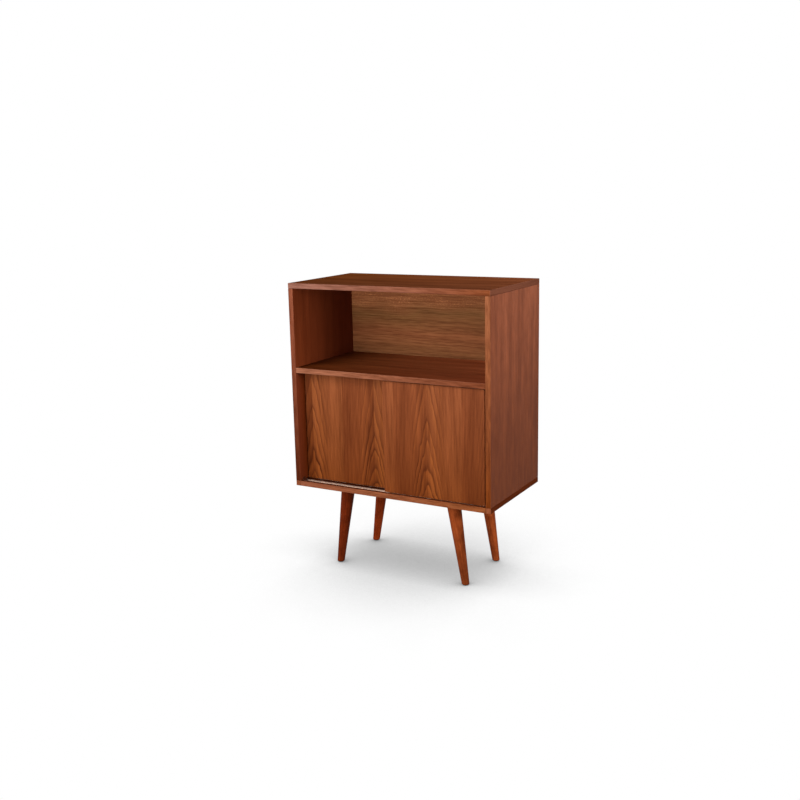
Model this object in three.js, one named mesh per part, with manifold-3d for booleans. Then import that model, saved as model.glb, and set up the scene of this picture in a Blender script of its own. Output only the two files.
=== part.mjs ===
// Highboard: an open niche over a compartment with two sliding doors, on four splayed turned legs.
// Lengths are in millimetres. +X is right seen from the front, +Y is to the back and +Z is up.
// The origin lies on the floor, under the middle of the body.
import * as THREE from "three";
import { mergeVertices, toCreasedNormals } from "three/addons/utils/BufferGeometryUtils.js";
import Module from "manifold-3d";

const wasm = await Module();
wasm.setup();

// Body: its outside, its boards and the niche.
const width = 750;
const depth = 400;
const height = 1000;
const legHeight = 288;
const boardThickness = 18;
const nicheHeight = 272;
const arris = 0.8;

// Housing of the shelf in the sides: how deep, and how far behind the front edge it stops.
const housingDepth = 6;
const housingStop = 12;

// Back panel: a thin board in a groove all round, set in from the rear edges.
const backThickness = 6;
const backRecess = 18;
const backGrooveDepth = 6;
const backGrooveGap = 0.5;

// Dowels in the joints of the sides with the top and the bottom panel.
const dowelDiameter = 8;
const dowelInPanel = 11;
const dowelInSide = 22;
const dowelInset = 50;
const dowelChamfer = 0.8;

// Doors: the right one in front, the left one behind it, and how far they lie over each other.
// The right door closes further from its side than any other end of a door's travel.
const doorThickness = 18;
const frontDoorSetback = 12;
const doorGap = 18;
const doorOverlap = 37;
const doorSideGap = 3;
const rightDoorSideGap = 8;
const doorFloorGap = 1;
const doorTopGap = 4;

// Lower track: a U channel let flush into the bottom panel.
const trackWidth = 18;
const trackHeight = 7;
const trackWall = 1.5;

// End stop of a track: a foot in the channel and an upright that the door's edge meets.
const stopFootLength = 9;
const stopHeight = 9;
const stopRound = 1.5;

// Guide channel over each track, let flush into the underside of the shelf.
const guideWidth = 12;
const guideHeight = 8;
const guideWall = 1;

// Glide under a door: a foot that runs in the track and a plug in the door.
const glideLength = 40;
const glideSideGap = 0.5;
const glideRound = 2.5;
const glideInset = 60;
const plugLength = 24;
const plugWidth = 8;
const plugHeight = 12;

// Guide pin in the top edge of a door.
const pinSideGap = 0.5;
const pinEndGap = 1.5;
const pinInDoor = 18;
const pinInset = 40;
const pinChamfer = 1;

// Leg: a straight taper, square at the top and cut level at the foot.
const legInsetX = 170;
const legInsetY = 75.5;
const legTopDiameter = 48;
const legFootDiameter = 26;
const legFootRound = 3;
const legTopChamfer = 1;
const splayDegrees = 8.5;

// Plate over a leg, with a slanted boss that the top of the leg sits under.
const plateThickness = 2.5;
const plateRim = 5;
const plateLegGap = 0.5;
const bossDiameter = 30;

// Screws of a plate, and the wood left between their tips and the track.
const screwCount = 3;
const screwDiameter = 4;
const screwHeadDiameter = 8;
const screwHeadHeight = 2.2;
const screwHeadLip = 0.4;
const screwTipLength = 4;
const screwCover = 1.5;
const screwLegGap = 2;
const recessLength = 4.6;
const recessWidth = 1.2;
const recessDepth = 1.4;

// Hanger bolt: a machine thread in the boss and a thinner wood thread in the leg.
const boltDiameter = 8;
const boltWoodDiameter = 6.5;
const boltInLeg = 42;
const boltPointLength = 5;
const boltPanelGap = 0.6;

// Pad under a foot, with a pin that goes into the leg.
const padDiameter = 20;
const padThickness = 2;
const padRound = 0.6;
const padPinDiameter = 2.6;
const padPinLength = 13;
const padPinPoint = 2.5;

// Clearances: glued or screwed faces, pins in bores, sliding faces, slanted seats.
const seatGap = 0.1;
const boreGap = 0.3;
const runningGap = 0.3;
const slantGap = 0.3;

// How far a cut passes the face that it opens.
const overrun = 1;

// Facets of small round pieces, of the plates and pads, and of the legs.
const roundSegments = 12;
const discSegments = 24;
const legSegments = 36;

// Steps of a rounded corner, and the angle from which an edge is a crease.
const cornerSteps = 3;
const creaseDegrees = 35;

// Levels and places that follow from the sizes above.
const halfWidth = width / 2;
const halfDepth = depth / 2;
const innerHalf = halfWidth - boardThickness;
const floorLevel = legHeight + boardThickness;
const ceilingLevel = height - boardThickness;
const shelfTop = ceilingLevel - nicheHeight;
const shelfUnderside = shelfTop - boardThickness;
const backRear = halfDepth - backRecess;
const backFront = backRear - backThickness;
const doorBottom = floorLevel + doorFloorGap;
const doorTop = shelfUnderside - doorTopGap;
const doorHeight = doorTop - doorBottom;
const doorWidth = innerHalf - (doorSideGap + rightDoorSideGap) / 2 + doorOverlap / 2;
const frontTrackY = frontDoorSetback + doorThickness / 2 - halfDepth;
const rearTrackY = frontTrackY + doorThickness + doorGap;
const screwInWood = boardThickness - trackHeight - screwCover;
const pinRadius = guideWidth / 2 - guideWall - pinSideGap;
const pinReach = doorTopGap + guideHeight - guideWall - pinEndGap;
const splay = THREE.MathUtils.degToRad(splayDegrees);
const quarterTurn = Math.PI / 2;
const fullTurn = 2 * Math.PI;

// Turns a closed geometry into a solid that can be joined and cut.
function solidOf(geometry) {
  const bare = geometry.clone();
  bare.deleteAttribute("normal");
  bare.deleteAttribute("uv");
  const merged = mergeVertices(bare);
  return new wasm.Manifold(
    new wasm.Mesh({
      numProp: 3,
      vertProperties: merged.attributes.position.array,
      triVerts: new Uint32Array(merged.index.array),
    }),
  );
}

// Turns a solid back into a geometry.
function geometryOf(solid) {
  const mesh = solid.getMesh();
  return new THREE.BufferGeometry()
    .setAttribute("position", new THREE.BufferAttribute(mesh.vertProperties, mesh.numProp))
    .setIndex(new THREE.BufferAttribute(mesh.triVerts, 1));
}

// A geometry less a list of others.
function carved(body, cuts) {
  const cut = cuts.reduce((solid, cutter) => solid.subtract(solidOf(cutter)), solidOf(body));
  return geometryOf(cut);
}

// Two geometries joined to one.
function joined(first, second) {
  return geometryOf(solidOf(first).add(solidOf(second)));
}

// Creates a named mesh with its material, its normals creased at the edges.
function namedMesh(name, geometry, finish) {
  const bare = geometry.clone();
  bare.deleteAttribute("normal");
  bare.deleteAttribute("uv");
  const creased = toCreasedNormals(bare, THREE.MathUtils.degToRad(creaseDegrees));
  const mesh = new THREE.Mesh(creased, new THREE.MeshStandardMaterial(finish));
  mesh.name = name;
  return mesh;
}

// Finishes.
const veneer = { color: 0x6e3922, roughness: 0.5, metalness: 0 };
const doorVeneer = { color: 0x8f4e2f, roughness: 0.5, metalness: 0 };
const backVeneer = { color: 0x87502f, roughness: 0.55, metalness: 0 };
const legWood = { color: 0x6b2e15, roughness: 0.45, metalness: 0 };
const dowelWood = { color: 0xc8a878, roughness: 0.8, metalness: 0 };
const aluminium = { color: 0xc9c4bc, roughness: 0.35, metalness: 1 };
const zincSteel = { color: 0xa9abad, roughness: 0.4, metalness: 1 };
const darkPlastic = { color: 0x1d1a18, roughness: 0.6, metalness: 0 };
const brownPlastic = { color: 0x4a2312, roughness: 0.6, metalness: 0 };
const nylon = { color: 0x2b2623, roughness: 0.5, metalness: 0 };

// Size and centre of a box, from its lowest and its highest corner.
function span(low, high) {
  const size = high.map((value, i) => value - low[i]);
  const centre = high.map((value, i) => (value + low[i]) / 2);
  return { size, centre };
}

// A plain box between its lowest and its highest corner.
function boxBetween(low, high) {
  const { size, centre } = span(low, high);
  return new THREE.BoxGeometry(...size).translate(...centre);
}

// A board about the origin, with an arris along each edge.
function boardGeometry(sizeX, sizeY, sizeZ) {
  const x = sizeX / 2;
  const y = sizeY / 2;
  const shape = new THREE.Shape();
  shape.moveTo(arris - x, -y);
  shape.lineTo(x - arris, -y);
  shape.lineTo(x, arris - y);
  shape.lineTo(x, y - arris);
  shape.lineTo(x - arris, y);
  shape.lineTo(arris - x, y);
  shape.lineTo(-x, y - arris);
  shape.lineTo(-x, arris - y);
  const wall = sizeZ - 2 * arris;
  const edge = { bevelThickness: arris, bevelSize: arris, bevelOffset: -arris, bevelSegments: 1 };
  return new THREE.ExtrudeGeometry(shape, { depth: wall, ...edge }).translate(0, 0, -wall / 2);
}

// A board between two corners of its group, less the cuts, which are given in the same group.
function boardMesh(name, low, high, cuts, finish) {
  const { size, centre } = span(low, high);
  const moved = cuts.map((cut) => cut.clone().translate(...centre.map((value) => -value)));
  const mesh = namedMesh(name, carved(boardGeometry(...size), moved), finish);
  mesh.position.set(...centre);
  return mesh;
}

// A solid turned about Z from pairs of radius and height, which start and end on the axis.
function turned(pairs, segments = roundSegments) {
  const points = pairs.map(([radius, z]) => new THREE.Vector2(radius, z));
  return new THREE.LatheGeometry(points, segments).rotateX(quarterTurn);
}

// An upright cylinder.
function rod(radius, low, high, segments = roundSegments) {
  return turned([[0, low], [radius, low], [radius, high], [0, high]], segments);
}

// An upright cylinder with a chamfer at both ends.
function pegGeometry(radius, low, high, chamfer) {
  return turned([
    [0, low],
    [radius - chamfer, low],
    [radius, low + chamfer],
    [radius, high - chamfer],
    [radius - chamfer, high],
    [0, high],
  ]);
}

// A shape in X and Z, extruded across Y about the middle.
function acrossY(shape, sizeY) {
  const plain = { depth: sizeY, bevelEnabled: false, curveSegments: cornerSteps };
  return new THREE.ExtrudeGeometry(shape, plain).translate(0, 0, -sizeY / 2).rotateX(quarterTurn);
}

// A U channel along X, open at the top, with its lips at height 0.
function channelGeometry(length, sizeY, sizeZ, wall) {
  const y = sizeY / 2;
  const corners = [
    [-y, -sizeZ],
    [y, -sizeZ],
    [y, 0],
    [y - wall, 0],
    [y - wall, wall - sizeZ],
    [wall - y, wall - sizeZ],
    [wall - y, 0],
    [-y, 0],
  ];
  const shape = new THREE.Shape(corners.map(([a, b]) => new THREE.Vector2(a, b)));
  const plain = { depth: length, bevelEnabled: false };
  const toX = new THREE.Matrix4().makeBasis(
    new THREE.Vector3(0, 1, 0),
    new THREE.Vector3(0, 0, 1),
    new THREE.Vector3(1, 0, 0),
  );
  return new THREE.ExtrudeGeometry(shape, plain).translate(0, 0, -length / 2).applyMatrix4(toX);
}

// Cuts that several boards share.
const trackRows = [frontTrackY, rearTrackY];
const dowelRows = { front: dowelInset - halfDepth, rear: backFront - dowelInset };
const legColumns = [legInsetX - halfWidth, halfWidth - legInsetX];
const legRows = [legInsetY - halfDepth, halfDepth - legInsetY];
const screwCircle = legTopDiameter / 2 + screwHeadDiameter / 2 + screwLegGap;

// The groove for the back panel, with a depth of its own on each of the four sides.
function backGroove() {
  const x = innerHalf + backGrooveDepth;
  const low = [-x, backFront - seatGap, floorLevel - backGrooveDepth];
  const high = [x, backRear + seatGap, ceilingLevel + backGrooveDepth];
  return boxBetween(low, high);
}

// A hole for a dowel, upright, at a joint level, in the boards above and below it.
function dowelHole(x, y, level, below, above) {
  const hole = rod(dowelDiameter / 2 + boreGap, level - below - boreGap, level + above + boreGap);
  return hole.translate(x, y, 0);
}

// The dowel holes along the bottom or the top joints of one side.
function dowelHoles(x, level, below, above) {
  return Object.values(dowelRows).map((y) => dowelHole(x, y, level, below, above));
}

// Places of the screws round a leg, the first one outward.
function screwPlaces(side) {
  return Array.from({ length: screwCount }, (_, i) => {
    const angle = (i / screwCount) * fullTurn;
    return [side * screwCircle * Math.cos(angle), screwCircle * Math.sin(angle)];
  });
}

// Pilot holes of the plate screws, in the underside of the bottom panel.
function pilotHoles() {
  const hole = rod(screwDiameter / 2 + boreGap, -overrun, screwInWood + boreGap);
  return legColumns.flatMap((x) =>
    legRows.flatMap((y) =>
      screwPlaces(Math.sign(x)).map(([a, b]) => hole.clone().translate(x + a, y + b, legHeight)),
    ),
  );
}

const dowelX = halfWidth - boardThickness / 2;

// Top panel: lies over both sides.
function topPanel() {
  const cuts = [
    backGroove(),
    ...dowelHoles(-dowelX, ceilingLevel, overrun, dowelInPanel),
    ...dowelHoles(dowelX, ceilingLevel, overrun, dowelInPanel),
  ];
  const low = [-halfWidth, -halfDepth, ceilingLevel];
  const high = [halfWidth, halfDepth, height];
  return boardMesh("top_panel", low, high, cuts, veneer);
}

// Bottom panel: lies under both sides, and carries the tracks and the leg plates.
function bottomPanel() {
  const halfTrack = trackWidth / 2 + seatGap;
  const trackGrooves = trackRows.map((y) => {
    const low = [-innerHalf, y - halfTrack, floorLevel - trackHeight - seatGap];
    return boxBetween(low, [innerHalf, y + halfTrack, floorLevel + overrun]);
  });
  const cuts = [
    backGroove(),
    ...trackGrooves,
    ...dowelHoles(-dowelX, floorLevel, dowelInPanel, overrun),
    ...dowelHoles(dowelX, floorLevel, dowelInPanel, overrun),
    ...pilotHoles(),
  ];
  const low = [-halfWidth, -halfDepth, legHeight];
  const high = [halfWidth, halfDepth, floorLevel];
  return boardMesh("bottom_panel", low, high, cuts, veneer);
}

// A side: stands between the bottom and the top panel.
function sidePanel(name, side) {
  const inner = innerHalf + housingDepth;
  const housing = boxBetween(
    [-inner, housingStop - seatGap - halfDepth, shelfUnderside - seatGap],
    [inner, backRear, shelfTop + seatGap],
  );
  const cuts = [
    backGroove(),
    housing,
    ...dowelHoles(side * dowelX, floorLevel, overrun, dowelInSide),
    ...dowelHoles(side * dowelX, ceilingLevel, dowelInSide, overrun),
  ];
  const edges = [side * innerHalf, side * halfWidth].sort((a, b) => a - b);
  const low = [edges[0], -halfDepth, floorLevel + seatGap];
  const high = [edges[1], halfDepth, ceilingLevel - seatGap];
  return boardMesh(name, low, high, cuts, veneer);
}

// Middle shelf: flush with the front edges, its ends housed in the sides behind them.
function middleShelf() {
  const end = innerHalf + housingDepth - seatGap;
  const notches = [-1, 1].map((side) => {
    const x = [side * (innerHalf - seatGap), side * (end + overrun)].sort((a, b) => a - b);
    const low = [x[0], -halfDepth - overrun, shelfUnderside - overrun];
    return boxBetween(low, [x[1], housingStop - halfDepth, shelfTop + overrun]);
  });
  const halfGuide = guideWidth / 2 + seatGap;
  const guideGrooves = trackRows.map((y) => {
    const low = [-innerHalf, y - halfGuide, shelfUnderside - overrun];
    return boxBetween(low, [innerHalf, y + halfGuide, shelfUnderside + guideHeight + seatGap]);
  });
  const low = [-end, -halfDepth, shelfUnderside];
  const high = [end, backFront - runningGap, shelfTop];
  return boardMesh("middle_shelf", low, high, [...notches, ...guideGrooves], veneer);
}

// Back panel: loose in its groove, so that the wood can move.
function backPanel() {
  const edge = backGrooveDepth - backGrooveGap;
  const low = [-innerHalf - edge, backFront, floorLevel - edge];
  const high = [innerHalf + edge, backRear, ceilingLevel + edge];
  return boardMesh("back_panel", low, high, [], backVeneer);
}

// Dowels, two in each joint of a side with the top or the bottom panel.
function dowels() {
  const joints = [
    { joint: "bottom", level: floorLevel, below: dowelInPanel, above: dowelInSide },
    { joint: "top", level: ceilingLevel, below: dowelInSide, above: dowelInPanel },
  ];
  const sides = { left: -dowelX, right: dowelX };
  return joints.flatMap(({ joint, level, below, above }) =>
    Object.entries(sides).flatMap(([sideName, x]) =>
      Object.entries(dowelRows).map(([rowName, y]) => {
        const shape = pegGeometry(dowelDiameter / 2, -below, above, dowelChamfer);
        const mesh = namedMesh(`dowel_${joint}_${sideName}_${rowName}`, shape, dowelWood);
        mesh.position.set(x, y, level);
        return mesh;
      }),
    ),
  );
}

// End stop, about the end of the clear width: its foot points inward, its upright stands at the end.
function trackStop(name, side, sideGap) {
  const footTop = trackHeight - trackWall - seatGap;
  const upright = sideGap - seatGap - runningGap;
  const shape = new THREE.Shape();
  shape.moveTo(-side * seatGap, 0);
  shape.lineTo(-side * stopFootLength, 0);
  shape.lineTo(-side * stopFootLength, footTop);
  shape.lineTo(-side * (seatGap + upright), footTop);
  shape.lineTo(-side * (seatGap + upright), footTop + stopHeight - stopRound);
  shape.lineTo(-side * (seatGap + upright - stopRound), footTop + stopHeight);
  shape.lineTo(-side * seatGap, footTop + stopHeight);
  const stopWidth = trackWidth - 2 * trackWall - 2 * seatGap;
  const mesh = namedMesh(name, acrossY(shape, stopWidth), brownPlastic);
  mesh.position.set(side * innerHalf, 0, trackWall + seatGap - trackHeight);
  return mesh;
}

// Track with its two end stops, in a group at the level of the compartment's floor.
function trackGroup(place, y, rightGap) {
  const group = new THREE.Group();
  group.position.set(0, y, floorLevel);
  const length = 2 * (innerHalf - seatGap);
  const channel = channelGeometry(length, trackWidth, trackHeight, trackWall);
  group.add(namedMesh(`${place}_track`, channel, aluminium));
  group.add(trackStop(`${place}_track_stop_left`, -1, doorSideGap));
  group.add(trackStop(`${place}_track_stop_right`, 1, rightGap));
  return group;
}

// Guide channel, turned over, its lips flush with the underside of the shelf.
function guideChannel(place, y) {
  const length = 2 * (innerHalf - seatGap);
  const channel = channelGeometry(length, guideWidth, guideHeight, guideWall);
  const mesh = namedMesh(`${place}_guide_channel`, channel, aluminium);
  mesh.rotation.x = Math.PI;
  mesh.position.set(0, y, shelfUnderside);
  return mesh;
}

// Places of the glides and of the guide pins from the middle of the door.
const glideX = doorWidth / 2 - glideInset;
const pinX = doorWidth / 2 - pinInset;

// Glide: a foot with rounded ends under the door and a plug in its bottom edge.
function doorGlide(name, x) {
  const low = trackWall + runningGap - trackHeight - doorFloorGap;
  const high = -seatGap;
  const half = glideLength / 2;
  const shape = new THREE.Shape();
  shape.moveTo(-half, high);
  shape.lineTo(-half, low + glideRound);
  shape.quadraticCurveTo(-half, low, glideRound - half, low);
  shape.lineTo(half - glideRound, low);
  shape.quadraticCurveTo(half, low, half, low + glideRound);
  shape.lineTo(half, high);
  const foot = acrossY(shape, trackWidth - 2 * trackWall - 2 * glideSideGap);
  const middle = (low + high) / 2;
  const plug = boxBetween(
    [-plugLength / 2, -plugWidth / 2, middle],
    [plugLength / 2, plugWidth / 2, plugHeight],
  );
  const mesh = namedMesh(name, joined(foot, plug), nylon);
  mesh.position.x = x;
  return mesh;
}

// Guide pin: stands in a bore of the top edge and reaches into the guide channel.
function guidePin(name, x) {
  const mesh = namedMesh(name, pegGeometry(pinRadius, -pinInDoor, pinReach, pinChamfer), nylon);
  mesh.position.set(x, 0, doorHeight);
  return mesh;
}

// Door with its glides and pins, in a group at the middle of its bottom edge.
// The pins' bores are deep enough to take the whole pin while the door is stood in its track.
function doorGroup(name, x, y) {
  const group = new THREE.Group();
  group.position.set(x, y, doorBottom);
  const mortises = [-glideX, glideX].map((place) =>
    boxBetween(
      [place - plugLength / 2 - seatGap, -plugWidth / 2 - seatGap, -overrun],
      [place + plugLength / 2 + seatGap, plugWidth / 2 + seatGap, plugHeight + seatGap],
    ),
  );
  const bores = [-pinX, pinX].map((place) => {
    const low = doorHeight - pinInDoor - pinReach - boreGap;
    return rod(pinRadius + boreGap, low, doorHeight + overrun).translate(place, 0, 0);
  });
  const low = [-doorWidth / 2, -doorThickness / 2, 0];
  const high = [doorWidth / 2, doorThickness / 2, doorHeight];
  group.add(boardMesh(name, low, high, [...mortises, ...bores], doorVeneer));
  group.add(doorGlide(`${name}_glide_left`, -glideX));
  group.add(doorGlide(`${name}_glide_right`, glideX));
  group.add(guidePin(`${name}_guide_pin_left`, -pinX));
  group.add(guidePin(`${name}_guide_pin_right`, pinX));
  return group;
}

// Distances along a leg's axis, down from the underside of the body.
const legTopDrop = (legTopDiameter / 2) * Math.sin(splay) + seatGap + plateThickness + plateLegGap;
const legTop = legTopDrop / Math.cos(splay);
const legFoot = (legHeight - padThickness - slantGap) / Math.cos(splay);
const boltTop = ((boltDiameter / 2) * Math.sin(splay) + boltPanelGap) / Math.cos(splay);

// Leg about its axis, which a group tilts. The foot is skewed so that it comes out level.
function legGeometry(tilt) {
  const foot = legFootDiameter / 2;
  const top = legTopDiameter / 2;
  const corner = Array.from({ length: cornerSteps + 1 }, (_, i) => {
    const angle = (i / cornerSteps) * quarterTurn;
    const radius = foot - legFootRound * (1 - Math.sin(angle));
    return [radius, legFootRound * (1 - Math.cos(angle)) - legFoot];
  });
  const head = [[top, -legTop - legTopChamfer], [top - legTopChamfer, -legTop], [0, -legTop]];
  const body = turned([[0, -legFoot], ...corner, ...head], legSegments);
  const points = body.attributes.position;
  for (let i = 0; i < points.count; i++) {
    const z = points.getZ(i);
    const atFoot = z < -(legFoot + legTop) / 2;
    if (atFoot) points.setZ(i, z + points.getX(i) * Math.tan(tilt));
  }
  const boltHole = rod(boltWoodDiameter / 2 + boreGap, -legTop - boltInLeg - boreGap, overrun - legTop);
  const pinHole = rod(padPinDiameter / 2 + boreGap, -overrun, padPinLength + boreGap);
  pinHole.rotateY(-tilt).translate(0, 0, -legFoot);
  return carved(body, [boltHole, pinHole]);
}

// Plate with its slanted boss, a threaded hole through both and countersunk screw holes.
function plateGeometry(tilt, side) {
  const radius = screwCircle + screwHeadDiameter / 2 + plateRim;
  const underside = -seatGap - plateThickness;
  const disc = rod(radius, underside, -seatGap, discSegments);
  const reach = legTop + bossDiameter / 2;
  const boss = rod(bossDiameter / 2, slantGap - legTop, reach, discSegments).rotateY(tilt);
  const above = boxBetween([-reach, -reach, -seatGap], [reach, reach, 2 * reach]);
  const hole = rod(boltDiameter / 2 + boreGap, -reach, reach).rotateY(tilt);
  const head = screwHeadDiameter / 2 + boreGap;
  const shank = screwDiameter / 2 + boreGap;
  const countersink = turned([
    [0, -overrun],
    [head, -overrun],
    [head, screwHeadLip],
    [shank, screwHeadHeight],
    [shank, plateThickness + overrun],
    [0, plateThickness + overrun],
  ]);
  const sinks = screwPlaces(side).map(([x, y]) => countersink.clone().translate(x, y, underside));
  return carved(joined(disc, boss), [above, hole, ...sinks]);
}

// Countersunk wood screw, its head down, with a cross recess.
function screwGeometry() {
  const head = screwHeadDiameter / 2;
  const shank = screwDiameter / 2;
  const end = seatGap + plateThickness + screwInWood;
  const body = turned([
    [0, 0],
    [head, 0],
    [head, screwHeadLip],
    [shank, screwHeadHeight],
    [shank, end - screwTipLength],
    [0, end],
  ]);
  const long = recessLength / 2;
  const short = recessWidth / 2;
  const recess = joined(
    boxBetween([-long, -short, -overrun], [long, short, recessDepth]),
    boxBetween([-short, -long, -overrun], [short, long, recessDepth]),
  );
  return carved(body, [recess]);
}

// Hanger bolt about the leg's axis: thin and pointed in the leg, thicker in the boss.
function boltGeometry() {
  const thin = boltWoodDiameter / 2;
  const thick = boltDiameter / 2;
  const shoulder = slantGap / 2 - legTop;
  return turned([
    [0, -legTop - boltInLeg],
    [thin, boltPointLength - legTop - boltInLeg],
    [thin, shoulder],
    [thick, shoulder],
    [thick, -boltTop],
    [0, -boltTop],
  ]);
}

// Pad: a disc on the floor, with a pointed pin up into the foot.
function padGeometry() {
  const radius = padDiameter / 2;
  const disc = turned(
    [[0, 0], [radius - padRound, 0], [radius, padRound], [radius, padThickness], [0, padThickness]],
    discSegments,
  );
  const pin = turned([
    [0, padThickness / 2],
    [padPinDiameter / 2, padThickness / 2],
    [padPinDiameter / 2, padThickness + padPinLength - padPinPoint],
    [0, padThickness + padPinLength],
  ]);
  return joined(disc, pin);
}

// Leg with its plate, screws, bolt and pad, in a group at the underside of the body.
function legGroup(place, x, y) {
  const side = Math.sign(x);
  const tilt = -side * splay;
  const group = new THREE.Group();
  group.position.set(x, y, legHeight);
  group.add(namedMesh(`leg_plate_${place}`, plateGeometry(tilt, side), zincSteel));
  screwPlaces(side).forEach(([a, b], i) => {
    const screw = namedMesh(`plate_screw_${place}_${i + 1}`, screwGeometry(), zincSteel);
    screw.position.set(a, b, -seatGap - plateThickness);
    group.add(screw);
  });
  const pad = namedMesh(`foot_pad_${place}`, padGeometry(), darkPlastic);
  pad.position.set(side * legFoot * Math.sin(splay), 0, -legHeight);
  group.add(pad);
  const slanted = new THREE.Group();
  slanted.rotation.y = tilt;
  slanted.add(namedMesh(`leg_${place}`, legGeometry(tilt), legWood));
  slanted.add(namedMesh(`hanger_bolt_${place}`, boltGeometry(), zincSteel));
  group.add(slanted);
  return group;
}

const carcass = new THREE.Group();
carcass.add(topPanel());
carcass.add(bottomPanel());
carcass.add(sidePanel("left_side", -1));
carcass.add(sidePanel("right_side", 1));
carcass.add(middleShelf());
carcass.add(backPanel());
carcass.add(...dowels());

const runners = new THREE.Group();
runners.add(trackGroup("front", frontTrackY, rightDoorSideGap));
runners.add(trackGroup("rear", rearTrackY, doorSideGap));
runners.add(guideChannel("front", frontTrackY));
runners.add(guideChannel("rear", rearTrackY));

const leftDoorX = doorWidth / 2 + doorSideGap - innerHalf;
const rightDoorX = innerHalf - rightDoorSideGap - doorWidth / 2;
const doors = new THREE.Group();
doors.add(doorGroup("left_door", leftDoorX, rearTrackY));
doors.add(doorGroup("right_door", rightDoorX, frontTrackY));

const legs = new THREE.Group();
legs.add(legGroup("front_left", legColumns[0], legRows[0]));
legs.add(legGroup("front_right", legColumns[1], legRows[0]));
legs.add(legGroup("rear_left", legColumns[0], legRows[1]));
legs.add(legGroup("rear_right", legColumns[1], legRows[1]));

const highboard = new THREE.Group();
highboard.add(carcass, runners, doors, legs);

export default highboard;
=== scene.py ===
"""Highboard with two sliding doors: veneers, metal and plastic finishes, turned legs, light and camera.

Lengths are in metres, angles in degrees and colours in screen values from 0 to 255.
"""

from collections import namedtuple
from math import cos, e, pi, radians, sin, tan

import bmesh
import bpy
from mathutils import Matrix, Vector


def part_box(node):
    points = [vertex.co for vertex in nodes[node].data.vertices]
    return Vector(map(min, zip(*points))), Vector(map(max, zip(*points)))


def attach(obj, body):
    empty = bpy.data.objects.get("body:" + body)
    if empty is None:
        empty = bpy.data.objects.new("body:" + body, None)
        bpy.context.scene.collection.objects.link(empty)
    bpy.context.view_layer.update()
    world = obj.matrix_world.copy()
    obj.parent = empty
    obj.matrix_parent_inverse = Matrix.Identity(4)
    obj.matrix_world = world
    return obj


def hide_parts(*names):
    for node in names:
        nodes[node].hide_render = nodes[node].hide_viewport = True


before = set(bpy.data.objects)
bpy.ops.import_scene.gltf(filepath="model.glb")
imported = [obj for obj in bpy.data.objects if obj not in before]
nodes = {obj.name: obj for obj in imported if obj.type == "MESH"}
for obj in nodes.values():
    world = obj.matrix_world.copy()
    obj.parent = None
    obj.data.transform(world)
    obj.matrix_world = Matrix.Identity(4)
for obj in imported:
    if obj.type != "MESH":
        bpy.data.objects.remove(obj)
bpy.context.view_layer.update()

# Camera, solved from the corners of the body
CAMERA_PLACE = (1.6595, -3.0302, 1.3264)
CAMERA_YAW = -29.589
CAMERA_PITCH = 12.045
CAMERA_ROLL = -1.239
CAMERA_LENS = 45.959
SENSOR_WIDTH = 36

# Lamps: place, aim, size and power
LAMPS = {
    "key_lamp": {"place": (-1.6, -3.3, 2.4), "aim": (0, 0, 0.75), "size": (2.4, 2.4), "power": 112},
    "fill_lamp": {"place": (0.4, -4.4, 0.9), "aim": (0, 0, 0.65), "size": (2.0, 1.2), "power": 82},
    "grazing_lamp": {"place": (2.4, -0.7, 1.05), "aim": (0, -0.1, 0.8), "size": (0.6, 0.4), "power": 24},
    "side_lamp": {"place": (1.3, 0, 1.3), "aim": (0.37, 0, 0.85), "size": (0.5, 0.5), "power": 5},
    "top_lamp": {"place": (0, 0.4, 2.8), "aim": (0, 0, 1), "size": (1.4, 1.4), "power": 5.5},
    "rear_lamp": {"place": (-1.4, 3.4, 0.9), "aim": (0, 0.2, 0.65), "size": (1.6, 1.2), "power": 75},
    "floor_bounce": {"place": (0, 0, 0.004), "aim": (0, 0, 1), "size": (1.8, 1.8), "power": 1.6},
}

# The sky's colour, its strength where it lights the object, and the floor's size and colour for light
WHITE = (1, 1, 1, 1)
SKY_STRENGTH = 0.12
FLOOR_SIZE = 16
FLOOR_COLOUR = (225, 224, 223)

# Shade on the floor: how far what stands on it counts, the shares of open sky that give
# the darkest and the white floor, and the two floors
FLOOR_REACH = 4
SHADE_SHARES = (0.35, 0.80)
SHADE_TONES = (0.29, 1.0)

# How a screen shows light: straight up to a threshold, and by a power above it
SCREEN_WHITE = 255
SCREEN_THRESHOLD = 0.04045
SCREEN_SLOPE = 12.92
SCREEN_OFFSET = 0.055
SCREEN_POWER = 2.4

# A noise that is drawn out one way: features to the metre along and across, detail and roughness
Noise = namedtuple("Noise", "along across detail roughness", defaults=(2, 0.5))

# Grain of veneers, of the solid lippings on front edges and of the back: slow bands, fine streaks and
# open pores, each with its noise and the step to its seed, where pores start and where they are full,
# and the step to the seed of a board's ends
VENEER_GRAIN = ((Noise(2.6, 26, 3), 0), (Noise(8, 210, 4, 0.74), 3.7), (Noise(42, 1500, 1.5, 0.6), 9.1))
LIPPING_GRAIN = ((Noise(14, 90, 3, 0.6), 0), (Noise(22, 420, 3, 0.6), 5), (Noise(160, 2200, 1), 9))
BACK_GRAIN = ((Noise(3, 150, 3, 0.6), 0), (Noise(16, 560, 2, 0.6), 3.7), (Noise(60, 1500, 1.5), 9.1))
PORE_STEP = (0.60, 0.74)
END_SEED_STEP = 2

# Where most of a noise's values lie, and where a cloudy noise turns from its darkest to its lightest
NOISE_RANGE = (0.3, 0.7)
CLOUD_RANGE = (0.35, 0.65)

# How much of the grain are bands, how far its values swing at contrast 1, and how dark pores are
BAND_SHARE = 0.46
GRAIN_SWING = 0.2
PORE_SHARE = 0.3

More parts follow.
